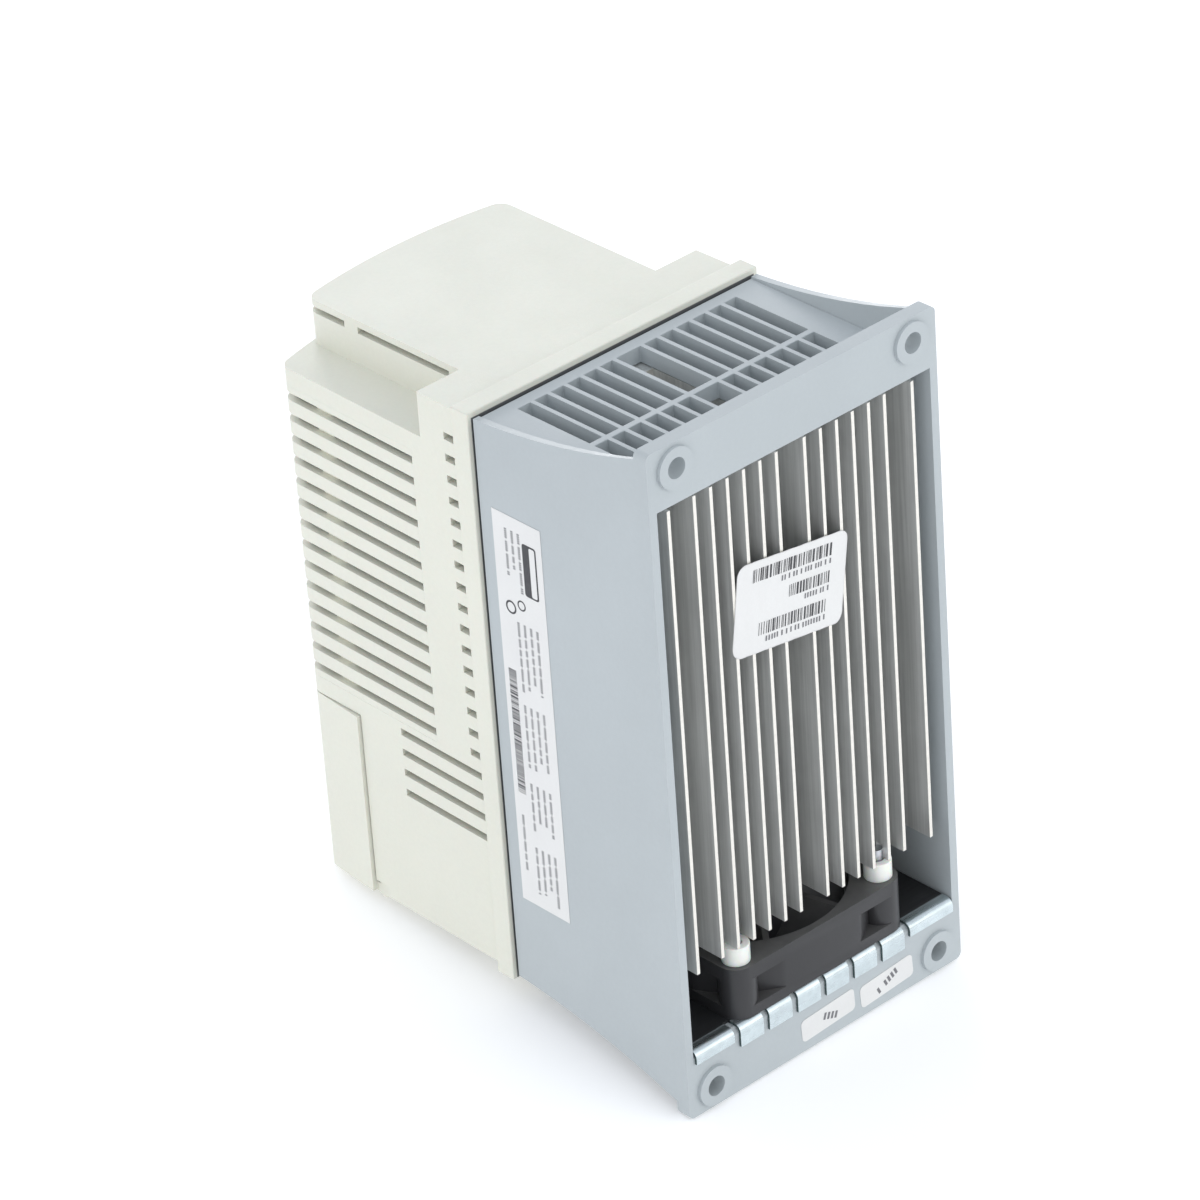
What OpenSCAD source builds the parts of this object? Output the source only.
// Wall-mounted motor drive: grey base with heat sink and fan, off-white vented cover.
// Frame: origin at the centre of the four mounting holes, in the plane of the panel.
// +Y points into the panel, +Z is up, and the operator faces the drive from -Y.
// "Depth" below means the distance in front of the panel, so depth d lies at y = -d.

/* [Back plate] */
// Width of the back plate
plate_w = 96.6; // [80:0.1:130]
// Height of the back plate
plate_h = 191; // [185:0.5:240]
// Thickness of the back plate
plate_t = 4.3; // [3:0.1:6]
// Corner radius of the back plate
plate_corner_r = 1.8; // [1:0.1:1.9]
// Radius of the four mounting holes
hole_r = 2.8; // [2:0.1:4]
// Distance from a hole's axis to the plate's side edge
hole_inset_x = 8.8; // [7:0.1:12]
// Distance from a hole's axis to the plate's top or bottom edge
hole_inset_z = 6.5; // [6.2:0.1:7]
// Height of the pad round each hole
pad_h = 1; // [0.5:0.1:2]
// Radius of the pad round each hole
pad_r = 5.5; // [4.5:0.1:6.4]

/* [Base housing] */
// Height of the flat top of the case above the hole pattern's centre
case_top = 81.8; // [78:0.1:83]
// Depth of the case's bottom below the hole pattern's centre
case_low = 80; // [78:0.1:83]
// Side wall thickness
wall = 2.5; // [2:0.1:3.5]
// How much narrower each side is where the base meets the cover
side_draft = 0.5; // [0.2:0.1:1]
// Thickness of the top wall
top_t = 2.8; // [2:0.1:3.5]
// Thickness of the floor under the fan
floor_t = 3.2; // [2:0.1:3.5]
// Thickness of the wall between the air duct and the electronics
partition_t = 1.6; // [1.2:0.1:3]
// Radius of the flare that carries the side walls out to the plate
flare_r = 235; // [232:1:300]
// How far in front of the base the flare would lie level
flare_lead = 15; // [10:0.5:16]
// How far the flare's inner face leans outwards at the plate's edge
flare_lean = 1.8; // [0.5:0.1:2]
// Width of a grille bar
bar_t = 1.3; // [1:0.1:2]
// Full depth of the top grille's bars
bar_h = 4.6; // [3:0.1:4.8]
// Length of the grille's front row of slots
row_front = 25.5; // [15:0.5:26]
// Length of the grille's back row of slots
row_back = 19.8; // [10:0.1:20]
// Width of the bar between the two rows
row_gap = 1.9; // [1:0.1:3]

/* [Heat sink] */
// Fin thickness
fin_t = 1; // [0.8:0.1:1.6]
// Fins in each inner group
fins_inner = 6; // [3:1:8]
// Distance from the centre line to the first fin's middle
fin_first = 4.7; // [3:0.1:6]
// Wider gap between the inner fins and the outermost fin, middle to middle
fin_outer_gap = 8.95; // [6:0.05:12]
// Room between the outermost fin's middle and the side wall
fin_side_gap = 4.9; // [3:0.1:8]
// Depth of the inner fins' tips
fin_tip = 3; // [2:0.1:5]
// How far the outermost fins stand proud of the others
fin_outer_proud = 0.6; // [0:0.1:1]
// Thickness of the heat sink's base
sink_t = 6.2; // [4:0.1:8]
// Gap between the fins and the top grille's bars
sink_top_gap = 0.3; // [0.2:0.1:1]

/* [Fan] */
// Width of the square fan
fan_w = 60; // [50:1:72]
// Thickness of the fan
fan_t = 15; // [12:0.5:20]
// Distance from a fan screw to the fan's edge
fan_hole_inset = 5; // [4:0.1:6]
// Thickness of the fan's upper flange
flange_top_t = 4; // [3:0.1:4.5]
// Thickness of the fan's lower flange
flange_low_t = 3; // [2:0.1:4]
// Radius of the fan's hub
hub_r = 14; // [11:0.5:16]
// Number of blades
blades = 7; // [5:1:9]
// Height of the spacers between the fan and the fins
spacer_h = 5.3; // [3:0.1:8]
// Radius of the spacers
spacer_r = 3.7; // [2.8:0.1:4.2]
// Radius of the fan screws
fan_screw_r = 1.5; // [1.2:0.1:2]

/* [Fan plate] */
// Thickness of the sheet
sheet_t = 0.8; // [0.5:0.1:0.9]
// Outer radius of the bend over the back plate
bend_r = 2.2; // [1.5:0.1:2.6]
// Distance between the middles of two slots
tab_pitch = 10; // [8:0.5:11]
// Width of the slots between the tabs
tab_gap = 2; // [1:0.1:3]
// Number of short tabs between the two wide ones
tabs_inner = 6; // [2:2:6]
// How far the row of tabs sits off the centre line
tab_shift = 1.2; // [0:0.1:2]
// How far the inner tabs reach below the sheet's top
tab_drop_inner = 6.3; // [4:0.1:8]
// How far the outer tabs reach below the sheet's top
tab_drop_outer = 3.8; // [3:0.1:6]

/* [Cover] */
// Depth of the cover from its rim to its front at the centre line
cover_d = 80.6; // [67:0.1:100]
// Radius of the front's curve, seen from above
front_r = 164; // [140:1:260]
// Radius of the front's vertical edges
front_edge_r = 4; // [2.5:0.1:6]
// Wall thickness of the covers
cover_wall = 2.2; // [1.8:0.1:3]
// How much narrower each side is at the front than at the rim
cover_draft = 1.4; // [0.5:0.1:2]
// Gap between the base and the cover's rim
seam_gap = 1; // [0.5:0.1:1.5]
// Depth of the rim band
rim_d = 6; // [4:0.1:8]
// How far the rim stands proud of the case at top and bottom
rim_proud = 1.8; // [1:0.1:2.5]
// How far the rim stands proud of the base at each side
rim_proud_side = 1.1; // [0.5:0.1:1.5]
// Distance from the rim to the step in the top
step_d = 14.3; // [10:0.1:20]
// Height of the step in the top
step_h = 12.8; // [8:0.1:16]
// Inset of the raised block from the cover's side
step_inset = 13; // [9:0.1:18]
// Height of one vent
vent_h = 2.1; // [1.5:0.1:3]
// Distance between two vents
vent_pitch = 6.08; // [5:0.01:7]
// Distance from the case top to the first vent's middle
vent_first = 8.8; // [8:0.1:12]
// Number of vents in the short row near the rim
vents_small = 16; // [10:1:16]
// Length of a vent in the short row
vent_small_l = 5.1; // [4:0.1:8]
// Number of long vents that open at the front edge
vents_long = 14; // [8:1:14]
// Number of vents below the long ones
vents_low = 4; // [2:1:4]
// Length of the vents below the long ones
vent_low_l = 32.7; // [20:0.1:36]

/* [Terminal cover] */
// Height of the terminal cover
term_h = 53.7; // [45:0.1:55]
// Depth of the terminal cover, front to seam, at the centre line
term_d = 25.7; // [22:0.1:32]
// Gap at the seams of the terminal cover
term_gap = 0.35; // [0.2:0.05:0.5]
// Radius of the hinge pins
pin_r = 1; // [0.8:0.1:1.4]
// Running clearance on the hinge pins
pin_clear = 0.05; // [0.02:0.01:0.1]
// Wall round a hinge pin
knuckle_wall = 1.2; // [1:0.1:1.6]

/* [Operator panel] */
// Radius of a key
key_r = 4.4; // [3:0.1:5]
// Gap round a key
key_gap = 0.3; // [0.2:0.05:0.5]
// Travel of a key
key_travel = 1; // [0.5:0.1:1.5]
// How far a key stands proud of the front
key_proud = 1.6; // [1.2:0.1:2.5]
// Distance between two keys
key_pitch = 14; // [12:0.5:16]
// Width of the display window
window_w = 40; // [30:1:46]
// Height of the display window
window_h = 16; // [12:0.5:18]
// Width of the memory module
memory_w = 15; // [10:0.5:18]
// Height of the memory module
memory_h = 9; // [7:0.5:11]
// Length of the memory module
memory_l = 18.8; // [14:0.1:20]

/* [Electronics] */
// Thickness of the circuit boards
board_t = 1.6; // [1:0.1:2]
// Room between the boards' edges and the cover
board_gap = 4.3; // [3:0.1:8]
// Height of the standoffs under the power board
standoff_h = 11; // [8:0.5:14]
// Distance from the terminal cover's seam to the back of the control board
control_inset = 2.1; // [1:0.1:4]
// Radius of a bus capacitor
cap_r = 11; // [8:0.5:11]
// Room between the bus capacitors and the control board
cap_gap = 7.4; // [4:0.1:12]
// Number of power terminals
power_poles = 8; // [6:1:9]
// Distance between two power terminals
power_pitch = 8.4; // [7:0.1:8.4]
// Number of control terminals
control_poles = 14; // [8:2:16]
// Distance between two control terminals
control_pitch = 4; // [3.5:0.1:4]

/* [Conduit plate] */
// Radius of a conduit hole
conduit_r = 11.1; // [8:0.1:11.1]
// Distance between two conduit holes
conduit_pitch = 25; // [23:0.1:25.5]
// Thickness of the conduit plate
conduit_t = 1.5; // [1:0.1:2.5]

/* [Labels] */
// Thickness of the stickers
sticker_t = 0.15; // [0.1:0.05:0.3]
// Width of the rating label, front to back
rating_w = 17.5; // [12:0.5:20]
// Height of the rating label
rating_h = 114; // [80:1:130]
// Width of the label on the fins
fin_label_w = 37.4; // [20:0.1:60]
// Height of the label on the fins
fin_label_h = 25.2; // [15:0.1:40]
// Sideways place of the label on the fins
fin_label_x = 2.75; // [-10:0.05:10]
// Height of the label on the fins above the hole pattern's centre
fin_label_z = 36.2; // [-10:0.1:50]
// Tilt of the label on the fins
fin_label_tilt = 8.5; // [0:0.1:12]
// Width of the small stickers on the back plate
plate_sticker_w = 18.8; // [10:0.1:19]
// Height of the small stickers on the back plate
plate_sticker_h = 6.6; // [4:0.1:8]

/* [Hidden] */
// Smoothness of round surfaces
$fn = 64;
// Smoothness of the large front and flare curves
big_fn = 360;
// Overlap that makes two solids of one piece join, or a cut pass right through
eps = 0.5;

// Back plate and base
half_w = plate_w / 2;
half_h = plate_h / 2;
hole_x = half_w - hole_inset_x;
hole_z = half_h - hole_inset_z;
plate_front = pad_h + plate_t;
inner_half = half_w - wall;
floor_top = -case_low + floor_t;
roof_under = case_top - top_t;
// The fan's square just clears the partition
fan_front_gap = 0.4;
duct_d = pad_h + fan_w + fan_front_gap;
base_d = duct_d + partition_t;
joint_half = half_w - side_draft;

// Heat sink and grille, which share the fins' places
fin_last = inner_half - fin_side_gap;
fin_pitch = (fin_last - fin_outer_gap - fin_first) / (fins_inner - 1);
function fin_x(i) = fin_first + i * fin_pitch;
sink_top = case_top - bar_h - sink_top_gap;
sink_low = floor_top + sheet_t + fan_t + spacer_h;
sink_half = inner_half - 0.5;
sink_back = duct_d - sink_t;
// Screws that hold the heat sink, clear of the board's standoffs
sink_screw_x = sink_half - 8;
sink_screw_z = [sink_low + 8, sink_top - 18];
sink_screw_r = 1.7;
sink_screw_grip = 4;
sink_screw_head_h = 2.4;
socket_r = 1.3;
socket_depth = 1.4;
row_front_d = base_d - 3.8;

// Fan
fan_low = floor_top + sheet_t;
fan_top = fan_low + fan_t;
fan_mid_d = pad_h + fan_w / 2;
fan_hole = fan_w / 2 - fan_hole_inset;
fan_bore_r = fan_w / 2 - 2;
// The ring is wider than the frame, which leaves it flat where it meets the sides
fan_ring_r = fan_w / 2 + 2.7;
fan_corner_r = fan_hole_inset;
shaft_r = 1.5;
shaft_clear = 0.05;
bearing_wall = 1.4;
strut_t = 2;
strut_w = 2.8;
fan_screw_head_r = 3;
fan_screw_head_h = 1.8;
fan_screw_grip = 4;
// Flat length of a tab, and the finger guard's rings and bars
tab_root = 1.4;
guard_r = [9, 18.5];
guard_w = 1.6;
lead_x = fan_hole - 8;
lead_z = fan_top + 2;

// Cover
rim_back = base_d + seam_gap;
rim_front = rim_back + rim_d;
front_depth = rim_back + cover_d;
rim_half = joint_half + rim_proud_side;
cover_half = joint_half - 0.3;
cover_half_front = cover_half - cover_draft;
step_depth = rim_front + step_d;
ledge_z = case_top - step_h;
block_half = cover_half_front - step_inset;
arc_y = front_r - front_depth;
inner_top = case_top - cover_wall;
inner_low = -case_low + cover_wall;
cavity_half = cover_half_front - cover_wall;
front_inner = front_depth - cover_wall;
// Rim of the base that reaches into the cover
spigot_gap = 0.3;
spigot_t = 1.6;
spigot_h = 3.5;
// Zone of the long vents at each front edge, which is a piece of its own
vent_x = cover_half_front - front_edge_r - 1;
vent_back = step_depth + 4;
grille_post_d = [step_depth + 37, step_depth + 43];
grille_post_t = 2.4;
function vent_z(i) = case_top - vent_first - i * vent_pitch;
vent_zone_top = vent_z(vents_small - vents_long - 0.5);
vent_zone_low = vent_z(vents_small - 0.5);

// Terminal cover
term_top = -case_low + term_h;
term_back = front_depth - term_d;
pivot_d = term_back - 2.3;
pivot_z = -case_low + 0.7;
knuckle_r = pin_r + knuckle_wall;
knuckle_in = cover_half_front - 5.4;
knuckle_out = cover_half_front - 0.3;
lug_in = knuckle_in - 6;
lug_gap = 0.3;
shelf_t = 2;
term_screw_z = term_top - 8;
block_w = 8;

// Electronics, front to back
power_back = base_d + standoff_h;
power_front = power_back + board_t;
control_back = term_back + control_inset;
cap_h = control_back - power_front - cap_gap;
control_front = control_back + board_t;
board_half = cavity_half - board_gap;
power_top = ledge_z + 3;
power_low = -case_low + 10;
control_top = ledge_z - 7;
control_low = term_top - 9.7;
stand_x = board_half - 3;
stand_top = power_top - 3.5;
stand_mid = 10;
stand_low = control_low - 3;
stand_r = 2.6;
thread_l = 5;
screw_r = 1.3;
screw_head_r = 2.4;
screw_head_h = 1.5;
module_half = 28;
module_low = -6;
module_top = 54;
module_d = standoff_h + partition_t - 2.6;
module_screw_x = module_half - 10;
module_pin_pitch = 6;
module_pin_r = 0.5;
module_pin_inset = 3;
module_pin_z = [module_low + module_pin_pitch : module_pin_pitch : module_top - module_pin_pitch];
pad_t = 0.2;
module_mid = (module_low + module_top) / 2;
terminal_z = power_low + 11;
terminal_d = 17;
clamp_r = 2.5;
terminal_half = power_poles * power_pitch / 2 + 1;
choke_x = -board_half / 2 - 2.5;
choke_z = -12;
choke_r = 10;
choke_w = 5;
choke_h = 9;
choke_winding_t = 1.4;
choke_d = power_front + 10;
choke_out = choke_r + choke_w / 2 + choke_winding_t;
relay_left = choke_x + choke_out + 0.8;
relay_w = 15;
relay_h = 17;
strip_half = control_poles * control_pitch / 2 + 1;
strip_d = 9;
strip_top = term_top - shelf_t - 0.6;

// Operator panel
key_low_z = ledge_z - 57;
key_high_z = key_low_z + key_pitch;
window_low = key_high_z + 13;
window_top = window_low + window_h;
led_z = window_top + 5;
led_r = 1.5;
led_gap = 0.1;
led_pitch = 8;
keypad_half = key_pitch + 11;
keypad_low = key_low_z - 8;
keypad_top = led_z + 4;
keypad_back = front_inner - 8.4;
keypad_front = keypad_back + board_t;
flange_front = front_inner - 1.5;
flange_t = 1;
key_stem_end = flange_front - flange_t - 1.3;
switch_top = key_stem_end - key_travel - 0.2;
keypad_post_x = keypad_half - 3;
keypad_post_z = [keypad_low + 3, keypad_top - 3];
keypad_post_r = 2.5;
overlay_t = 0.4;
memory_z = term_top + 14;
memory_slot_gap = 0.5;
memory_proud = 0.3;
memory_back = front_depth + memory_proud - memory_l;
rail_t = 1.5;
rail_x = memory_w / 2 + memory_slot_gap + 0.25 + rail_t / 2;

// The rating label's front edge behind the base's edge, and the height of its middle
rating_inset = 4.3;
rating_z = 2.4;

// Conduit plate
conduit_back = rim_front + 5;
conduit_front = pivot_d - knuckle_r - 2.2;
conduit_d = (conduit_back + conduit_front) / 2;
conduit_rim = 5;
conduit_half = cavity_half - 1.2;
conduit_window = conduit_half - 6;
conduit_screw_x = (conduit_half + conduit_window) / 2;

// A box between two widths, two depths and two heights
module box(x0, x1, d0, d1, z0, z1) {
    translate([x0, -d1, z0])
        cube([x1 - x0, d1 - d0, z1 - z0]);
}

// A round bar that runs straight out from the panel
module rod(x, z, d0, d1, r) {
    translate([x, -d0, z])
        rotate([90, 0, 0])
            cylinder(h = d1 - d0, r = r);
}

// An upright round bar
module post(x, d, z0, z1, r) {
    translate([x, -d, z0])
        cylinder(h = z1 - z0, r = r);
}

// A round bar that runs across the drive
module bar(x0, x1, d, z, r) {
    translate([x0, -d, z])
        rotate([0, 90, 0])
            cylinder(h = x1 - x0, r = r);
}

// Whatever is given, on both sides of the centre line
module both_sides() {
    children();
    mirror([1, 0, 0])
        children();
}

// A flat rectangle with round corners, centred
module round_rect(w, h, r) {
    square([w - 2 * r, h], center = true);
    square([w, h - 2 * r], center = true);
    for (sx = [-1, 1], sz = [-1, 1])
        translate([sx * (w / 2 - r), sz * (h / 2 - r)])
            circle(r = r);
}

// A plate parallel to the panel, with round corners and centred on x and z
module panel_plate(x, z, w, h, d0, d1, r) {
    translate([x, -d0, z])
        rotate([90, 0, 0])
            linear_extrude(height = d1 - d0)
                round_rect(w, h, r);
}

// The cover's outline seen from above: tapered sides, round vertical edges and an arched front.
// inset moves the whole outline inwards
module plan(half_back, half_front, d_back, inset) {
    edge_x = half_front - front_edge_r;
    edge_reach = front_r - front_edge_r;
    edge_y = arc_y - sqrt(edge_reach * edge_reach - edge_x * edge_x);
    r = front_edge_r - inset;
    reach = r + 2;
    lean = [edge_x / edge_reach, (edge_y - arc_y) / edge_reach];
    difference() {
        intersection() {
            polygon([
                [-(half_back - inset), -d_back],
                [half_back - inset, -d_back],
                [half_front - inset, edge_y],
                [half_front - inset, -front_depth - 1],
                [-(half_front - inset), -front_depth - 1],
                [-(half_front - inset), edge_y]
            ]);
            translate([0, arc_y])
                circle(r = front_r - inset, $fn = big_fn);
        }
        for (side = [0, 1])
            mirror([side, 0])
                difference() {
                    polygon([
                        [edge_x, edge_y],
                        [edge_x + reach, edge_y],
                        [edge_x + reach, edge_y - reach],
                        [edge_x + lean[0] * reach, edge_y + lean[1] * reach]
                    ]);
                    translate([edge_x, edge_y])
                        circle(r = r);
                }
    }
}

// The full-width outline as a solid between two heights
module wide_block(z0, z1, d_back, inset) {
    translate([0, 0, z0])
        linear_extrude(height = z1 - z0)
            plan(cover_half, cover_half_front, d_back, inset);
}

// The narrower raised block's outline as a solid between two heights
module raised_block(z0, z1, d_back, inset) {
    translate([0, 0, z0])
        linear_extrude(height = z1 - z0)
            plan(block_half, block_half, d_back, inset);
}

// The slots of the air grille, between two heights
module grille_slots(z0, z1) {
    rows = [
        [row_front_d - row_front, row_front_d],
        [row_front_d - row_front - row_gap - row_back, row_front_d - row_front - row_gap]
    ];
    for (row = rows) {
        box(-fin_first + bar_t / 2, fin_first - bar_t / 2, row[0], row[1], z0, z1);
        both_sides()
            for (i = [0 : fins_inner - 1])
                box(fin_x(i) + bar_t / 2, fin_x(i + 1) - bar_t / 2, row[0], row[1], z0, z1);
    }
}

// Room between the two flares, from the case outwards to the plate's edge
module flare_room(z0, z1) {
    rotate([90, 0, 0])
        linear_extrude(height = base_d + eps)
            polygon([
                [-inner_half, z0],
                [inner_half, z0],
                [inner_half + flare_lean, z1],
                [-inner_half - flare_lean, z1]
            ]);
}

// One big cylinder that hollows the flare of the side walls
module flare_cut() {
    bar(-plate_w, plate_w, base_d + flare_lead, case_top + flare_r, flare_r, $fn = big_fn);
}

module base_shell() {
    // Tapered side walls with flared ends, and the top and bottom walls between them
    difference() {
        translate([0, 0, -half_h])
            linear_extrude(height = plate_h)
                polygon([
                    [-half_w, -plate_front + eps],
                    [half_w, -plate_front + eps],
                    [joint_half, -base_d],
                    [-joint_half, -base_d]
                ]);
        flare_cut($fn = big_fn);
        translate([0, 0, case_top - case_low])
            mirror([0, 0, 1])
                flare_cut($fn = big_fn);
        flare_room(case_top, half_h + eps);
        flare_room(-case_low, -half_h - eps);
    }
    // Back plate
    panel_plate(0, 0, plate_w, plate_h, pad_h, plate_front, plate_corner_r);
    // Pads round the mounting holes
    for (sx = [-1, 1], sz = [-1, 1])
        rod(sx * hole_x, sz * hole_z, 0, pad_h + eps, pad_r);
}

// Access from below to the fan's screws
module fan_screw_access() {
    for (sx = [-1, 1], d = [fan_mid_d - fan_hole, fan_mid_d + fan_hole])
        post(sx * fan_hole, d, -case_low - eps, floor_top + eps, fan_screw_head_r + 0.8);
}

module base_housing() {
    color("lightsteelblue")
        difference() {
            base_shell();
            // Air duct, open at the back
            box(-inner_half, inner_half, -eps, base_d, floor_top, roof_under);
            // Room for the top wall, the bottom wall and the duct's front wall
            box(-inner_half, inner_half, plate_front, base_d + eps, -case_low - eps, case_top + eps);
            // Round edge under the fan plate's bend
            translate([-inner_half, 0, 0])
                rotate([90, 0, 90])
                    linear_extrude(height = 2 * inner_half)
                        polygon([
                            [-pad_h - bend_r, floor_top + eps],
                            [-pad_h - bend_r + sheet_t, floor_top],
                            [-pad_h, floor_top - bend_r + sheet_t],
                            [eps, floor_top - bend_r + sheet_t],
                            [eps, floor_top + eps]
                        ]);
            for (sx = [-1, 1], sz = [-1, 1])
                rod(sx * hole_x, sz * hole_z, -eps, plate_front + eps, hole_r);
            fan_screw_access();
        }
}

// Top of the air duct, with its grille of deep bars
module top_wall() {
    grille_half = fin_x(fins_inner) + bar_t;
    color("lightsteelblue")
        difference() {
            union() {
                box(-inner_half, inner_half, plate_front, base_d, roof_under, case_top);
                box(-grille_half, grille_half, row_front_d - row_front - row_gap - row_back - bar_t,
                    row_front_d + bar_t, case_top - bar_h, roof_under + eps);
            }
            grille_slots(case_top - bar_h - eps, case_top + eps);
        }
}

// Floor of the air duct, with its grille
module bottom_wall() {
    color("lightsteelblue")
        difference() {
            box(-inner_half, inner_half, plate_front, base_d, -case_low, floor_top);
            grille_slots(-case_low - eps, floor_top + eps);
            fan_screw_access();
        }
}

// Wall between the air duct and the electronics, with the raised rim that locates the cover
module duct_wall() {
    rim_out = cavity_half - spigot_gap;
    rim_low = inner_low + spigot_gap;
    rim_top = inner_top - spigot_gap;
    color("lightsteelblue")
        difference() {
            union() {
                box(-inner_half, inner_half, duct_d, base_d, floor_top, roof_under);
                box(-rim_out, rim_out, base_d, rim_back + spigot_h, rim_low, rim_top);
            }
            box(-rim_out + spigot_t, rim_out - spigot_t, base_d, rim_back + spigot_h + eps,
                rim_low + spigot_t, rim_top - spigot_t);
            // Window for the power module
            box(-module_half - 2, module_half + 2, duct_d - eps, base_d + eps,
                module_low - 2, module_top + 2);
            // Holes for the heat sink's screws and the fan lead
            for (sx = [-1, 1], z = sink_screw_z)
                rod(sx * sink_screw_x, z, duct_d - eps, base_d + eps, sink_screw_r + 0.5);
            rod(lead_x, lead_z, duct_d - eps, base_d + eps, 2);
        }
}

module heat_sink() {
    color("silver")
        difference() {
            union() {
                box(-sink_half, sink_half, sink_back, duct_d, sink_low, sink_top);
                both_sides() {
                    for (i = [0 : fins_inner - 1])
                        box(fin_x(i) - fin_t / 2, fin_x(i) + fin_t / 2, fin_tip, sink_back + eps,
                            sink_low, sink_top);
                    box(fin_last - fin_t / 2, fin_last + fin_t / 2, fin_tip - fin_outer_proud,
                        sink_back + eps, sink_low, sink_top);
                }
            }
            for (sx = [-1, 1], d = [fan_mid_d - fan_hole, fan_mid_d + fan_hole])
                post(sx * fan_hole, d, sink_low - eps, sink_low + fan_screw_grip, fan_screw_r);
            for (sx = [-1, 1], z = sink_screw_z)
                rod(sx * sink_screw_x, z, sink_back + 1, duct_d + eps, sink_screw_r);
            for (sx = [-1, 1])
                rod(sx * module_screw_x, module_mid, sink_back + 1, duct_d + eps, screw_r);
        }
}

module heat_sink_screws() {
    color("gainsboro")
        for (sx = [-1, 1], z = sink_screw_z) {
            rod(sx * sink_screw_x, z, duct_d - sink_screw_grip, base_d + 0.1, sink_screw_r);
            // Head with a hexagon socket
            difference() {
                rod(sx * sink_screw_x, z, base_d, base_d + sink_screw_head_h, 2 * sink_screw_r);
                rod(sx * sink_screw_x, z, base_d + sink_screw_head_h - socket_depth,
                    base_d + sink_screw_head_h + eps, socket_r, $fn = 6);
            }
        }
}

module fan_frame() {
    color("dimgray")
        translate([0, -fan_mid_d, 0])
            difference() {
                union() {
                    for (z = [[fan_low, flange_low_t], [fan_top - flange_top_t, flange_top_t]])
                        translate([0, 0, z[0]])
                            linear_extrude(height = z[1])
                                round_rect(fan_w, fan_w, fan_corner_r);
                    intersection() {
                        translate([0, 0, fan_low])
                            cylinder(h = fan_t, r = fan_ring_r);
                        translate([-fan_w / 2, -fan_w / 2, fan_low])
                            cube([fan_w, fan_w, fan_t]);
                    }
                    for (sx = [-1, 1], sy = [-1, 1])
                        translate([sx * fan_hole, sy * fan_hole, fan_low])
                            cylinder(h = fan_t, r = fan_corner_r);
                }
                // Air passage and screw holes
                translate([0, 0, fan_low - eps])
                    cylinder(h = fan_t + 2 * eps, r = fan_bore_r);
                for (sx = [-1, 1], sy = [-1, 1])
                    translate([sx * fan_hole, sy * fan_hole, fan_low - eps])
                        cylinder(h = fan_t + 2 * eps, r = fan_screw_r + 0.6);
            }
}

// The motor's seat and bearing, on four struts
module fan_struts() {
    color("dimgray")
        translate([0, -fan_mid_d, fan_low])
            difference() {
                union() {
                    cylinder(h = strut_t, r = hub_r);
                    intersection() {
                        cylinder(h = strut_t, r = fan_bore_r - 0.05);
                        for (a = [45 : 90 : 315])
                            rotate([0, 0, a])
                                translate([0, -strut_w / 2, 0])
                                    cube([fan_w / 2, strut_w, strut_t]);
                    }
                    cylinder(h = fan_t - 5, r = shaft_r + bearing_wall);
                }
                translate([0, 0, 1])
                    cylinder(h = fan_t, r = shaft_r + shaft_clear);
            }
}

module fan_rotor() {
    blade_low = fan_low + strut_t + 1;
    blade_h = fan_t - strut_t - 2.2;
    blade_t = 1.2;
    blade_tilt = 48;
    tip_gap = 0.8;
    cup_t = 1.2;
    color("black")
        translate([0, -fan_mid_d, 0]) {
            // Hub cup and shaft
            difference() {
                translate([0, 0, blade_low])
                    cylinder(h = blade_h, r = hub_r);
                translate([0, 0, blade_low - eps])
                    cylinder(h = blade_h - cup_t + eps, r = hub_r - cup_t);
            }
            translate([0, 0, fan_low + 1.5])
                cylinder(h = blade_low + blade_h - fan_low - 2, r = shaft_r);
            // Tilted blades, trimmed to the passage and to the hub
            difference() {
                intersection() {
                    for (i = [0 : blades - 1])
                        rotate([0, 0, i * 360 / blades])
                            translate([hub_r - 0.6, 0, blade_low + blade_h / 2])
                                rotate([blade_tilt, 0, 0])
                                    translate([0, -blade_h, -blade_t / 2])
                                        cube([fan_w, 2 * blade_h, blade_t]);
                    translate([0, 0, blade_low + 0.4])
                        cylinder(h = blade_h - 0.8, r = fan_bore_r - tip_gap);
                }
                translate([0, 0, blade_low - 1])
                    cylinder(h = blade_h + 2, r = hub_r - 0.8);
            }
        }
}

module fan_spacers() {
    color("white")
        for (sx = [-1, 1], d = [fan_mid_d - fan_hole, fan_mid_d + fan_hole])
            difference() {
                post(sx * fan_hole, d, fan_top, sink_low, spacer_r);
                post(sx * fan_hole, d, fan_top - eps, sink_low + eps, fan_screw_r + 0.2);
            }
}

module fan_screws() {
    color("gainsboro")
        for (sx = [-1, 1], d = [fan_mid_d - fan_hole, fan_mid_d + fan_hole]) {
            post(sx * fan_hole, d, floor_top - 0.1, sink_low + fan_screw_grip - 1, fan_screw_r);
            difference() {
                post(sx * fan_hole, d, floor_top - fan_screw_head_h, floor_top, fan_screw_head_r);
                post(sx * fan_hole, d, floor_top - fan_screw_head_h - eps, floor_top - 0.8, 1.2, $fn = 6);
            }
        }
}

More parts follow.
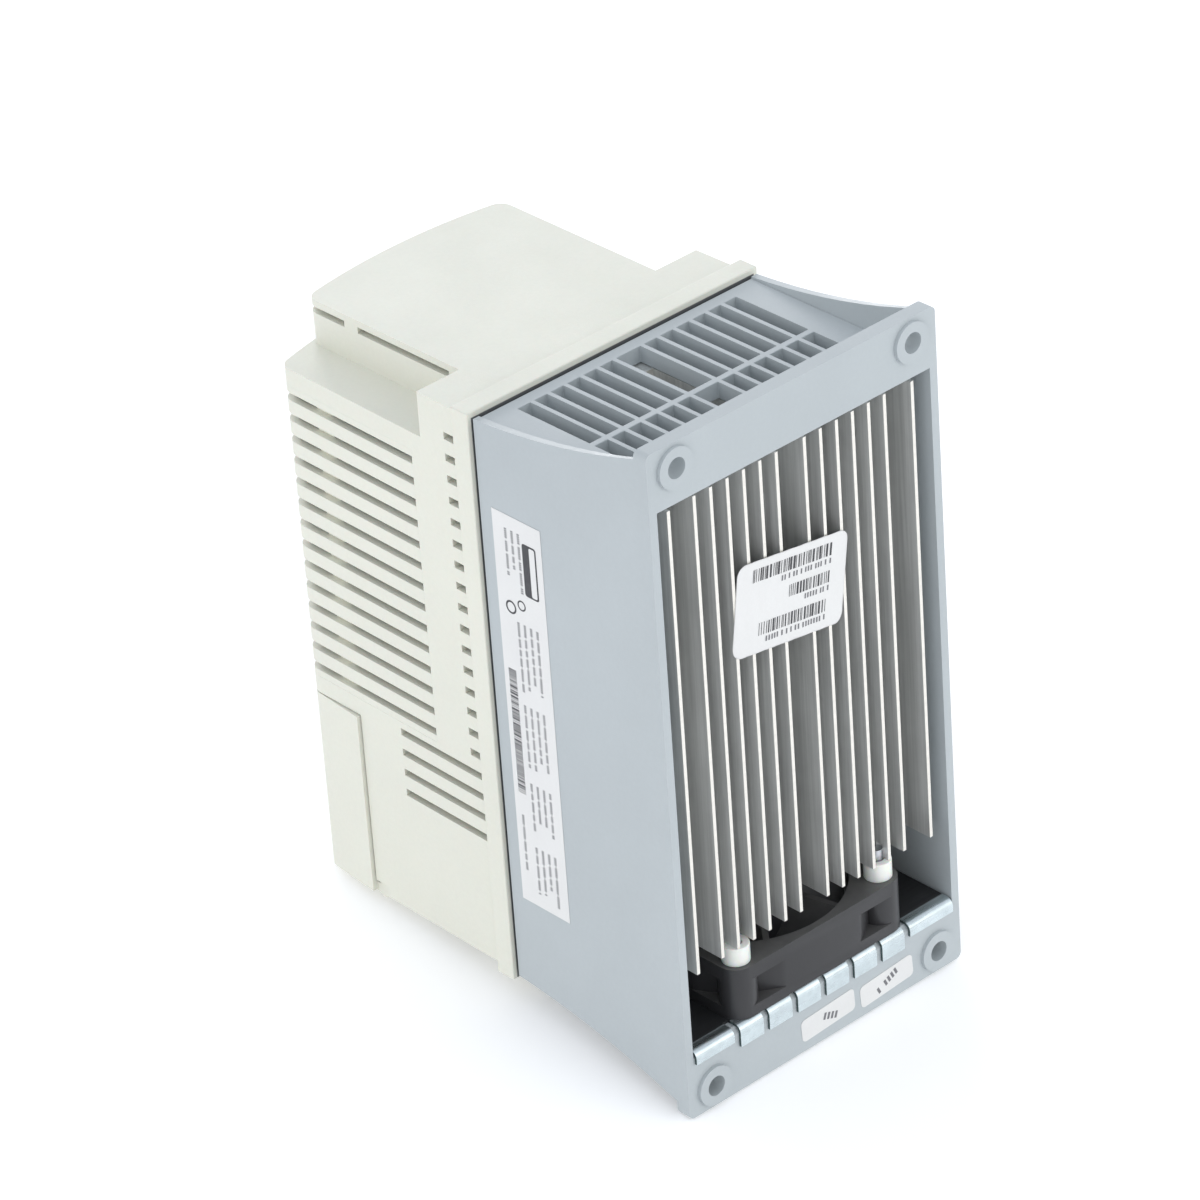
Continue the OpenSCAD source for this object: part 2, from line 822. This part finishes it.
// One tab of the fan plate: flat, round the bend and down the back plate
module tab(x0, x1, drop) {
    slot_end = pad_h + bend_r + tab_root;
    bend_d = pad_h - sheet_t + bend_r;
    box(x0, x1, bend_d, slot_end, floor_top, fan_low);
    difference() {
        bar(x0, x1, bend_d, fan_low - bend_r, bend_r);
        bar(x0 - eps, x1 + eps, bend_d, fan_low - bend_r, bend_r - sheet_t);
        box(x0 - eps, x1 + eps, bend_d, bend_d + 2 * bend_r, fan_low - 3 * bend_r, fan_low + eps);
        box(x0 - eps, x1 + eps, 0, bend_d + eps, fan_low - 3 * bend_r, fan_low - bend_r);
    }
    box(x0, x1, pad_h - sheet_t, pad_h, fan_low - drop, fan_low - bend_r);
}

module fan_plate() {
    sheet_half = inner_half - 0.4;
    slots = tabs_inner + 1;
    first = tab_shift - tabs_inner / 2 * tab_pitch;
    color("lightgray") {
        difference() {
            box(-sheet_half, sheet_half, pad_h + bend_r + tab_root - 0.01, duct_d - 0.4, floor_top, fan_low);
            // Air passage under the fan, left with two rings and a cross as a finger guard
            difference() {
                post(0, fan_mid_d, floor_top - eps, fan_low + eps, fan_bore_r - 1);
                for (r = guard_r)
                    difference() {
                        post(0, fan_mid_d, floor_top, fan_low, r + guard_w / 2);
                        post(0, fan_mid_d, floor_top - eps, fan_low + eps, r - guard_w / 2);
                    }
                for (a = [45, 135])
                    translate([0, -fan_mid_d, floor_top])
                        rotate([0, 0, a])
                            translate([-fan_w / 2, -guard_w / 2, 0])
                                cube([fan_w, guard_w, sheet_t]);
            }
            for (sx = [-1, 1], d = [fan_mid_d - fan_hole, fan_mid_d + fan_hole])
                post(sx * fan_hole, d, floor_top - eps, fan_low + eps, fan_screw_r + 0.1);
        }
        for (i = [0 : tabs_inner - 1])
            tab(first + i * tab_pitch + tab_gap / 2, first + (i + 1) * tab_pitch - tab_gap / 2,
                tab_drop_inner);
        tab(-sheet_half, first - tab_gap / 2, tab_drop_outer);
        tab(first + (slots - 1) * tab_pitch + tab_gap / 2, sheet_half, tab_drop_outer);
    }
}

// The cover's short and low vents on the +X side
module side_vents() {
    for (i = [0 : vents_small - 1])
        box(vent_x, cover_half + 2, rim_front - eps, rim_front + vent_small_l,
            vent_z(i) - vent_h / 2, vent_z(i) + vent_h / 2);
    for (i = [vents_small : vents_small + vents_low - 1])
        box(vent_x, cover_half + 2, rim_front - eps, rim_front + vent_low_l,
            vent_z(i) - vent_h / 2, vent_z(i) + vent_h / 2);
}

// The zone of the long vents at the +X front edge
module vent_zone() {
    box(vent_x, cover_half + 2, vent_back, front_depth + 1, vent_zone_low, vent_zone_top);
}

// The raised block's vents, just under its top
module step_vents() {
    slot_h = 1.8;
    z0 = inner_top - 1.5;
    for (d = [[vent_back, grille_post_d[0] + 1], [grille_post_d[1], front_depth]])
        box(block_half - cover_wall - eps, block_half + 1, d[0], d[1], z0, z0 + slot_h);
}

module cover_shell() {
    difference() {
        union() {
            wide_block(-case_low, ledge_z, rim_front, 0);
            intersection() {
                wide_block(ledge_z - eps, case_top, rim_front, 0);
                box(-half_w, half_w, rim_front - eps, step_depth, ledge_z - 1, case_top + 1);
            }
            raised_block(ledge_z - eps, case_top, step_depth - eps, 0);
        }
        wide_block(inner_low, ledge_z - cover_wall, rim_front - eps, cover_wall);
        intersection() {
            wide_block(0, inner_top, rim_front - eps, cover_wall);
            box(-half_w, half_w, rim_front - 2 * eps, step_depth - cover_wall, 0, inner_top + 1);
        }
        raised_block(0, inner_top, rim_front - eps, cover_wall);
    }
}

// Cuts that open the front cover where the terminal cover closes it
module terminal_space() {
    box(-half_w, half_w, term_back, front_depth + 1, -case_low - 1, term_top);
    // Room for the terminal cover's lower edge as it swings
    box(-half_w, half_w, pivot_d - 1.1, front_depth + 1, -case_low - 1, inner_low + eps);
    // Room for the hinge's knuckles
    both_sides()
        box(knuckle_in - lug_gap, half_w, pivot_d - knuckle_r - lug_gap, front_depth,
            -case_low - 1, pivot_z + knuckle_r + lug_gap);
}

// The bottom of the cover between its side walls
module cover_floor(grow) {
    box(-cavity_half, cavity_half, rim_front - grow, front_depth + 1, -case_low - grow, inner_low);
}

module front_cover() {
    color("ivory") {
        difference() {
            union() {
                cover_shell();
                // Posts that carry the keypad board
                for (sx = [-1, 1], z = keypad_post_z)
                    rod(sx * keypad_post_x, z, keypad_front, front_inner, keypad_post_r);
                // Rails that guide the memory module
                for (sx = [-1, 1])
                    box(sx * rail_x - rail_t / 2, sx * rail_x + rail_t / 2,
                        memory_back + 7, front_inner + eps,
                        memory_z - memory_h / 2, memory_z + memory_h / 2);
            }
            terminal_space();
            cover_floor(eps);
            both_sides() {
                side_vents();
                vent_zone();
                step_vents();
            }
            for (c = [-1 : 1], z = [key_low_z, key_high_z])
                rod(c * key_pitch, z, flange_front, front_depth + 1, key_r + key_gap);
            box(-window_w / 2, window_w / 2, front_inner - 3, front_depth + 1, window_low, window_top);
            for (c = [-1.5 : 1.5])
                rod(c * led_pitch, led_z, front_inner - 3, front_depth + 1, led_r + led_gap);
            box(-memory_w / 2 - memory_slot_gap, memory_w / 2 + memory_slot_gap,
                memory_back, front_depth + 1,
                memory_z - memory_h / 2 - memory_slot_gap, memory_z + memory_h / 2 + memory_slot_gap);
            for (sx = [-1, 1], z = keypad_post_z)
                rod(sx * keypad_post_x, z, keypad_front - eps, keypad_front + 4, screw_r);
        }
        // Shelf over the terminal space, with the block that takes the cover's screw
        difference() {
            intersection() {
                wide_block(term_top, term_top + shelf_t, control_front + 0.6, 0.2);
                box(-cavity_half - 1, cavity_half + 1, control_front + 0.6, front_depth,
                    term_top, term_top + shelf_t);
            }
            box(-memory_w / 2 - 3, memory_w / 2 + 3, 0, memory_back, term_top - 1, term_top + shelf_t + 1);
        }
        difference() {
            box(-block_w / 2, block_w / 2, front_inner - 9, front_inner - 5.4,
                term_screw_z - block_w / 2, term_top + eps);
            rod(0, term_screw_z, front_inner - 12, front_inner, screw_r);
        }
    }
}

// The band round the cover's open back
module cover_rim() {
    color("ivory")
        difference() {
            box(-rim_half, rim_half, rim_back, rim_front, -case_low - rim_proud, case_top + rim_proud);
            box(-cavity_half, cavity_half, rim_back - eps, rim_front + eps, inner_low, inner_top);
        }
}

// The slatted front edges of the cover, each tied together by a post inside
module cover_grilles() {
    post_in = cover_half_front - cover_wall - grille_post_t;
    color("ivory")
        both_sides() {
            difference() {
                intersection() {
                    cover_shell();
                    vent_zone();
                }
                for (i = [vents_small - vents_long : vents_small - 1])
                    box(vent_x - 1, cover_half + 2, vent_back, front_depth + 1,
                        vent_z(i) - vent_h / 2, vent_z(i) + vent_h / 2);
            }
            box(post_in, cover_half_front - cover_wall + 0.4, grille_post_d[0], grille_post_d[1],
                vent_zone_low, vent_zone_top);
        }
}

// The bottom of the cover, with the conduit plate's window and the terminal cover's hinge lugs
module conduit_frame() {
    color("ivory") {
        difference() {
            intersection() {
                cover_shell();
                cover_floor(1);
            }
            terminal_space();
            box(-conduit_window, conduit_window, conduit_back + conduit_rim, conduit_front - conduit_rim,
                -case_low - 1, inner_low + eps);
            for (sx = [-1, 1], d = [conduit_back + conduit_rim, conduit_front - conduit_rim])
                post(sx * conduit_screw_x, d, -case_low - 1, inner_low + eps, screw_r);
        }
        both_sides()
            difference() {
                union() {
                    bar(lug_in, knuckle_in - lug_gap, pivot_d, pivot_z, knuckle_r);
                    box(lug_in, knuckle_in - lug_gap, pivot_d - knuckle_r - 2, pivot_d,
                        -case_low, inner_low);
                }
                bar(lug_in - eps, knuckle_in, pivot_d, pivot_z, pin_r);
            }
    }
}

module terminal_cover() {
    color("ivory")
        difference() {
            union() {
                difference() {
                    wide_block(-case_low, term_top - term_gap, term_back + term_gap, 0);
                    wide_block(inner_low, term_top + 1, term_back - 1, cover_wall);
                }
                // Tongue that closes the gap between the hinges
                box(-lug_in + 1, lug_in - 1, pivot_d + 0.4, term_back + 2, -case_low, inner_low);
                // Hinge knuckles and the webs that join them to the cover
                both_sides() {
                    bar(knuckle_in, knuckle_out, pivot_d, pivot_z, knuckle_r);
                    box(knuckle_in, knuckle_out, pivot_d, term_back + 2, -case_low - 0.6, pivot_z + 1.4);
                }
            }
            both_sides()
                bar(knuckle_in - 1, knuckle_out - 1.4, pivot_d, pivot_z, pin_r + pin_clear);
            // Captive screw's hole and counterbore
            rod(0, term_screw_z, front_inner - 2, front_depth + 1, screw_r + 0.3);
            rod(0, term_screw_z, front_inner + 1, front_depth + 1, screw_head_r + 0.6);
        }
}

module hinge_pins() {
    color("silver")
        both_sides()
            bar(lug_in, knuckle_out - 1.8, pivot_d, pivot_z, pin_r);
}

module terminal_cover_screw() {
    head = screw_head_r + 0.3;
    slot = 0.8;
    color("gainsboro") {
        rod(0, term_screw_z, front_inner - 5, front_inner + 1.1, screw_r);
        difference() {
            rod(0, term_screw_z, front_inner + 1, front_depth + 0.6, head);
            box(-head, head, front_depth - 0.2, front_depth + 1,
                term_screw_z - slot / 2, term_screw_z + slot / 2);
        }
    }
}

module conduit_plate() {
    color("lightgray")
        difference() {
            box(-conduit_half, conduit_half, conduit_back, conduit_front, inner_low, inner_low + conduit_t);
            for (c = [-1 : 1])
                post(c * conduit_pitch, conduit_d, inner_low - eps, inner_low + conduit_t + eps, conduit_r);
            for (sx = [-1, 1], d = [conduit_back + conduit_rim, conduit_front - conduit_rim])
                post(sx * conduit_screw_x, d, inner_low - eps, inner_low + conduit_t + eps, screw_r);
        }
}

module conduit_plate_screws() {
    head_z = inner_low + conduit_t;
    color("gainsboro")
        for (sx = [-1, 1], d = [conduit_back + conduit_rim, conduit_front - conduit_rim]) {
            post(sx * conduit_screw_x, d, -case_low + 0.2, head_z + 0.1, screw_r);
            difference() {
                post(sx * conduit_screw_x, d, head_z, head_z + screw_head_h, screw_head_r);
                box(sx * conduit_screw_x - screw_head_r, sx * conduit_screw_x + screw_head_r,
                    d - 0.4, d + 0.4, head_z + 0.8, head_z + screw_head_h + eps);
            }
        }
}

module power_board() {
    color("seagreen")
        difference() {
            box(-board_half, board_half, power_back, power_front, power_low, power_top);
            for (sx = [-1, 1], z = [stand_top, stand_mid, stand_low])
                rod(sx * stand_x, z, power_back - eps, power_front + eps, screw_r);
        }
}

module power_module() {
    face = duct_d + pad_t;
    color("black")
        difference() {
            union() {
                box(-module_half, module_half, face, duct_d + module_d, module_low, module_top);
                // Two rows of pins to the power board
                for (sx = [-1, 1], z = module_pin_z)
                    rod(sx * (module_half - module_pin_inset), z, face + 2, power_back, module_pin_r);
            }
            for (sx = [-1, 1])
                rod(sx * module_screw_x, module_mid, face - eps, power_back, screw_r + 0.2);
        }
}

module thermal_pad() {
    color("whitesmoke")
        difference() {
            box(-module_half, module_half, duct_d, duct_d + pad_t, module_low, module_top);
            for (sx = [-1, 1])
                rod(sx * module_screw_x, module_mid, duct_d - eps, duct_d + 1, screw_r + 0.2);
        }
}

module module_screws() {
    head_d = duct_d + module_d;
    color("gainsboro")
        for (sx = [-1, 1]) {
            rod(sx * module_screw_x, module_mid, sink_back + 2, head_d + 0.1, screw_r);
            rod(sx * module_screw_x, module_mid, head_d, head_d + screw_head_h, screw_head_r);
        }
}

module bus_capacitors() {
    first_z = stand_mid + stand_r + 2 + cap_r;
    groove = 0.6;
    groove_d = power_front + 3;
    color("midnightblue")
        for (sx = [-1, 1], i = [0, 1]) {
            x = sx * (board_half - 1 - cap_r);
            z = first_z + i * (2 * cap_r + 1);
            difference() {
                rod(x, z, power_front, power_front + cap_h, cap_r);
                // Crimped groove near the foot
                difference() {
                    rod(x, z, groove_d, groove_d + 1, cap_r + 1);
                    rod(x, z, groove_d - 1, groove_d + 2, cap_r - groove);
                }
            }
        }
}

module transformer() {
    core_w = 22;
    core_half = 9;
    core_d = [power_front + 2, power_front + 20];
    core_z = stand_mid + 26;
    // Windows in the core, and the winding inside them
    window_x = 7.5;
    window_half = 2;
    fit = 0.4;
    coil_d = [power_front + 6.5, power_front + 15.5];
    flange = 3;
    foot = 1;
    color("dimgray")
        difference() {
            box(-core_w / 2, core_w / 2, core_d[0], core_d[1], core_z - core_half, core_z + core_half);
            for (sx = [-1, 1])
                box(sx * window_x - window_half, sx * window_x + window_half, coil_d[0] - eps,
                    coil_d[1] + eps, core_z - core_half - eps, core_z + core_half + eps);
        }
    color("gold") {
        for (sz = [-1, 1])
            translate([0, 0, core_z + sz * (core_half + flange / 2)])
                box(-core_half, core_half, coil_d[0], coil_d[1], -flange / 2, flange / 2);
        for (sx = [-1, 1])
            box(sx * window_x - window_half + fit, sx * window_x + window_half - fit,
                coil_d[0], coil_d[1], core_z - core_half - eps, core_z + core_half + eps);
        for (sx = [-1, 1], sz = [-1, 1])
            translate([sx * (core_half - foot), 0, core_z + sz * (core_half + flange / 2)])
                box(-foot, foot, power_front, coil_d[0] + eps, -foot, foot);
    }
}

module choke_core() {
    color("darkgreen")
        translate([choke_x, -choke_d, choke_z])
            rotate([90, 0, 0])
                rotate_extrude()
                    translate([choke_r, 0])
                        square([choke_w, choke_h], center = true);
}

module choke_windings() {
    // Each winding covers this part of the ring
    span = 118;
    color("peru")
        translate([choke_x, -choke_d, choke_z])
            rotate([90, 0, 0])
                for (side = [0, 180])
                    rotate([0, 0, side - span / 2])
                        rotate_extrude(angle = span)
                            translate([choke_r, 0])
                                difference() {
                                    square([choke_w, choke_h] + 2 * [choke_winding_t, choke_winding_t],
                                        center = true);
                                    square([choke_w, choke_h], center = true);
                                }
}

module line_filter_capacitors() {
    film_x = 10;
    film_l = 24;
    film_w = 10;
    film_h = 16;
    film_pitch = 13;
    // Feet are left at the corners by a shallow groove underneath
    foot_w = 2;
    foot_h = 0.8;
    color("goldenrod")
        for (i = [0, 1]) {
            z = -i * film_pitch;
            difference() {
                box(film_x, film_x + film_l, power_front, power_front + film_h, z - film_w, z);
                box(film_x - 1, film_x + film_l + 1, power_front - eps, power_front + foot_h,
                    z - film_w + foot_w, z - foot_w);
            }
        }
}

module relay() {
    relay_z = -14;
    half = 10;
    foot_w = 2;
    foot_h = 0.6;
    color("black")
        difference() {
            box(relay_left, relay_left + relay_w, power_front, power_front + relay_h,
                relay_z - half, relay_z + half);
            box(relay_left - 1, relay_left + relay_w + 1, power_front - eps, power_front + foot_h,
                relay_z - half + foot_w, relay_z + half - foot_w);
        }
}

function power_x(i) = (i - (power_poles - 1) / 2) * power_pitch;

module power_terminal_block() {
    half = 9;
    front = power_front + terminal_d;
    // Wire entry below and label ledge above each clamp
    entry = 3.6;
    ledge = 3;
    ledge_w = 6.8;
    color("darkslategray")
        difference() {
            box(-terminal_half, terminal_half, power_front, front, terminal_z - half, terminal_z + half);
            for (i = [0 : power_poles - 1]) {
                x = power_x(i);
                rod(x, terminal_z, power_front + 4, front + eps, clamp_r + 0.1);
                box(x - entry / 2, x + entry / 2, power_front + 5, power_front + 5 + entry,
                    terminal_z - half - 1, terminal_z);
                box(x - ledge_w / 2, x + ledge_w / 2, front - ledge, front + eps,
                    terminal_z + clamp_r + 1, terminal_z + half + 1);
            }
        }
}

module terminal_clamp_screws() {
    head_d = power_front + terminal_d - 3;
    slot = 0.8;
    color("silver")
        for (i = [0 : power_poles - 1])
            difference() {
                rod(power_x(i), terminal_z, power_front + 9, head_d, clamp_r);
                box(power_x(i) - slot / 2, power_x(i) + slot / 2, head_d - 1, head_d + 1,
                    terminal_z - clamp_r - eps, terminal_z + clamp_r + eps);
            }
}

module fan_lead() {
    wire_r = 0.8;
    turn_d = duct_d - 5;
    plug_l = 5;
    plug_half = [3.5, 2];
    color("red")
        for (side = [-1, 1])
            translate([side * (wire_r + 0.1), 0, 0]) {
                rod(lead_x, lead_z, turn_d, power_back - plug_l / 2, wire_r);
                post(lead_x, turn_d, fan_top, lead_z, wire_r);
                translate([lead_x, -turn_d, lead_z])
                    sphere(r = wire_r);
            }
    // Plug on the back of the power board
    color("white")
        box(lead_x - plug_half[0], lead_x + plug_half[0], power_back - plug_l, power_back,
            lead_z - plug_half[1], lead_z + plug_half[1]);
}

module board_standoffs() {
    color("darkgoldenrod")
        for (sx = [-1, 1]) {
            for (z = [stand_top, stand_mid, stand_low])
                difference() {
                    rod(sx * stand_x, z, base_d, power_back, stand_r, $fn = 6);
                    rod(sx * stand_x, z, power_back - thread_l, power_back + eps, screw_r);
                }
            for (z = [stand_mid, stand_low])
                difference() {
                    rod(sx * stand_x, z, power_front, control_back, stand_r, $fn = 6);
                    rod(sx * stand_x, z, control_back - thread_l, control_back + eps, screw_r);
                }
        }
}

// A cross-recessed screw that runs out from the panel, with its head at depth d
module board_screw(x, z, d, grip) {
    recess = [2.6, 1.6, 0.5];
    rod(x, z, d - grip, d + 0.1, screw_r);
    difference() {
        rod(x, z, d, d + screw_head_h, screw_head_r);
        for (a = [0, 90])
            translate([x, -d - screw_head_h - 0.1, z])
                rotate([0, a, 0])
                    cube(recess, center = true);
    }
}

module board_screws() {
    color("silver")
        for (sx = [-1, 1]) {
            board_screw(sx * stand_x, stand_top, power_front, thread_l);
            for (z = [stand_mid, stand_low])
                board_screw(sx * stand_x, z, control_front, thread_l);
        }
}

module control_board() {
    color("seagreen")
        difference() {
            box(-board_half, board_half, control_back, control_front, control_low - 6, control_top);
            for (sx = [-1, 1], z = [stand_mid, stand_low])
                rod(sx * stand_x, z, control_back - eps, control_front + eps, screw_r);
        }
}

module processor() {
    half = 7;
    body_t = 1.5;
    chip_x = -12;
    chip_z = control_top - 32;
    legs = 11;
    leg_pitch = 1.1;
    leg_w = 0.5;
    color("black") {
        box(chip_x - half, chip_x + half, control_front + 0.1, control_front + body_t,
            chip_z - half, chip_z + half);
        // Legs along the top and bottom edges
        for (i = [0 : legs - 1]) {
            x = chip_x + (i - (legs - 1) / 2) * leg_pitch;
            box(x - leg_w / 2, x + leg_w / 2, control_front, control_front + leg_w,
                chip_z - half - 1, chip_z + half + 1);
        }
    }
}

module control_terminals() {
    front = control_front + strip_d;
    low = strip_top - 9;
    // Screw well and wire entry of each pole
    well_r = 1.4;
    well_z = strip_top - 3.5;
    entry = 2.4;
    color("limegreen")
        difference() {
            box(-strip_half, strip_half, control_front, front, low, strip_top);
            for (i = [0 : control_poles - 1]) {
                x = (i - (control_poles - 1) / 2) * control_pitch;
                rod(x, well_z, control_front + 4, front + eps, well_r);
                box(x - entry / 2, x + entry / 2, control_front + 3, control_front + 3 + entry,
                    low - 1, well_z + eps);
            }
        }
}

module ribbon_cable() {
    ribbon_x = 4;
    ribbon_z = 6;
    ribbon_w = 20;
    ribbon_t = 1;
    plug_l = 5;
    plug_half = 2.2;
    over = 1.5;
    color("lightgray") {
        box(ribbon_x, ribbon_x + ribbon_w, power_front + plug_l - 1, control_back - plug_l + 1,
            ribbon_z - ribbon_t / 2, ribbon_z + ribbon_t / 2);
        // Plugs at both ends
        for (d = [power_front, control_back - plug_l])
            box(ribbon_x - over, ribbon_x + ribbon_w + over, d, d + plug_l,
                ribbon_z - plug_half, ribbon_z + plug_half);
    }
}

module memory_socket() {
    color("black")
        difference() {
            box(-memory_w / 2 - 2, memory_w / 2 + 2, control_front, memory_back - 0.1,
                memory_z - memory_h / 2, memory_z + memory_h / 2);
            box(-memory_w / 2 + 3, memory_w / 2 - 3, memory_back - 1.6, memory_back,
                memory_z - 1, memory_z + 1);
        }
}

module memory_module() {
    grip_pitch = 2.4;
    grip_w = 1;
    color("darkslategray")
        difference() {
            box(-memory_w / 2, memory_w / 2, memory_back, front_depth + memory_proud,
                memory_z - memory_h / 2, memory_z + memory_h / 2);
            // Finger grip across the front end
            for (i = [-1 : 1])
                translate([0, 0, memory_z + i * grip_pitch])
                    box(-memory_w / 2 - 1, memory_w / 2 + 1, front_depth - 0.2, front_depth + 1,
                        -grip_w / 2, grip_w / 2);
        }
}

module keypad_board() {
    color("seagreen")
        difference() {
            box(-keypad_half, keypad_half, keypad_back, keypad_front, keypad_low, keypad_top);
            for (sx = [-1, 1], z = keypad_post_z)
                rod(sx * keypad_post_x, z, keypad_back - eps, keypad_front + eps, screw_r);
        }
}

module keypad_screws() {
    color("silver")
        for (sx = [-1, 1], z = keypad_post_z) {
            rod(sx * keypad_post_x, z, keypad_back - 0.1, keypad_front + 3.5, screw_r);
            rod(sx * keypad_post_x, z, keypad_back - screw_head_h, keypad_back, screw_head_r);
        }
}

module key_switches() {
    half = 3;
    plunger_r = 1.6;
    plunger_out = 0.5;
    color("black")
        for (c = [-1 : 1], z = [key_low_z, key_high_z]) {
            x = c * key_pitch;
            box(x - half, x + half, keypad_front, switch_top - plunger_out, z - half, z + half);
            rod(x, z, switch_top - 1, switch_top, plunger_r);
        }
}

module display_module() {
    color("black")
        box(-window_w / 2, window_w / 2, keypad_front, front_inner - 2, window_low - 1, window_top + 1);
}

module display_window() {
    fit = 0.1;
    color("darkred")
        intersection() {
            difference() {
                wide_block(window_low + fit, window_top - fit, 100, 0.2);
                wide_block(window_low - 1, window_top + 1, 99, cover_wall - 0.2);
            }
            box(-window_w / 2 + fit, window_w / 2 - fit, front_inner - 5, front_depth,
                window_low, window_top);
        }
}

module status_leds() {
    color("lime")
        for (c = [-1.5 : 1.5])
            rod(c * led_pitch, led_z, keypad_front, front_depth - 0.3, led_r);
}

module keypad_overlay() {
    color("slategray")
        difference() {
            intersection() {
                difference() {
                    wide_block(keypad_low, keypad_top, 100, -overlay_t);
                    wide_block(keypad_low - 1, keypad_top + 1, 99, 0);
                }
                box(-keypad_half, keypad_half, front_inner - 5, front_depth + 1, keypad_low, keypad_top);
            }
            for (c = [-1 : 1], z = [key_low_z, key_high_z])
                rod(c * key_pitch, z, front_inner, front_depth + 1, key_r + key_gap);
            box(-window_w / 2, window_w / 2, front_inner - 3, front_depth + 1, window_low, window_top);
            for (c = [-1.5 : 1.5])
                rod(c * led_pitch, led_z, front_inner - 3, front_depth + 1, led_r + led_gap);
        }
}

// One key: domed cap, flange behind the cover and stem towards its switch
module key(c, z) {
    x = c * key_pitch;
    stem_r = 1.5;
    dome_r = 20;
    // The outer keys follow the front's curve back
    curve = 0.5;
    cap_end = front_depth - abs(c) * curve + key_proud;
    rod(x, z, key_stem_end, flange_front, stem_r);
    rod(x, z, flange_front - flange_t, flange_front, key_r + 0.9);
    intersection() {
        rod(x, z, flange_front - eps, cap_end, key_r);
        translate([x, -cap_end + dome_r, z])
            sphere(r = dome_r, $fn = 128);
    }
}

module key_run() {
    color("green")
        key(-1, key_high_z);
}

module key_stop() {
    color("red")
        key(1, key_high_z);
}

module key_direction() {
    color("slategray")
        key(0, key_high_z);
}

module key_down() {
    color("slategray")
        key(-1, key_low_z);
}

module key_mode() {
    color("slategray")
        key(0, key_low_z);
}

module key_up() {
    color("slategray")
        key(1, key_low_z);
}

module rating_label() {
    d1 = base_d - rating_inset;
    d0 = d1 - rating_w;
    slope = side_draft / (base_d - plate_front);
    x0 = half_w - slope * (d0 - plate_front);
    x1 = half_w - slope * (d1 - plate_front);
    color("white")
        translate([0, 0, rating_z - rating_h / 2])
            linear_extrude(height = rating_h)
                polygon([
                    [x0, -d0],
                    [x0 + sticker_t, -d0],
                    [x1 + sticker_t, -d1],
                    [x1, -d1]
                ]);
}

module fin_label() {
    color("white")
        translate([fin_label_x, -fin_tip, fin_label_z])
            rotate([0, -fin_label_tilt, 0])
                rotate([-90, 0, 0])
                    linear_extrude(height = sticker_t)
                        round_rect(fin_label_w, fin_label_h, 3);
}

// One of the small stickers on the back plate
module plate_sticker(x, z, tilt) {
    translate([x, -pad_h, z])
        rotate([0, tilt, 0])
            rotate([-90, 0, 0])
                linear_extrude(height = sticker_t)
                    round_rect(plate_sticker_w, plate_sticker_h, 1.4);
}

module plate_sticker_a() {
    color("white")
        plate_sticker(-0.5, -hole_z, 3);
}

module plate_sticker_b() {
    color("white")
        plate_sticker(-21.4, -hole_z - 0.3, 3.7);
}

base_housing();
top_wall();
bottom_wall();
duct_wall();
heat_sink();
fan_frame();
fan_struts();
fan_rotor();
fan_spacers();
fan_screws();
fan_plate();
front_cover();
cover_rim();
cover_grilles();
conduit_frame();
terminal_cover();
hinge_pins();
terminal_cover_screw();
conduit_plate();
conduit_plate_screws();
power_board();
power_module();
thermal_pad();
module_screws();
heat_sink_screws();
bus_capacitors();
transformer();
choke_core();
choke_windings();
line_filter_capacitors();
relay();
power_terminal_block();
terminal_clamp_screws();
fan_lead();
board_standoffs();
board_screws();
control_board();
processor();
control_terminals();
ribbon_cable();
memory_socket();
memory_module();
keypad_board();
keypad_screws();
key_switches();
display_module();
display_window();
status_leds();
keypad_overlay();
key_run();
key_stop();
key_direction();
key_mode();
key_up();
key_down();
rating_label();
fin_label();
plate_sticker_a();
plate_sticker_b();
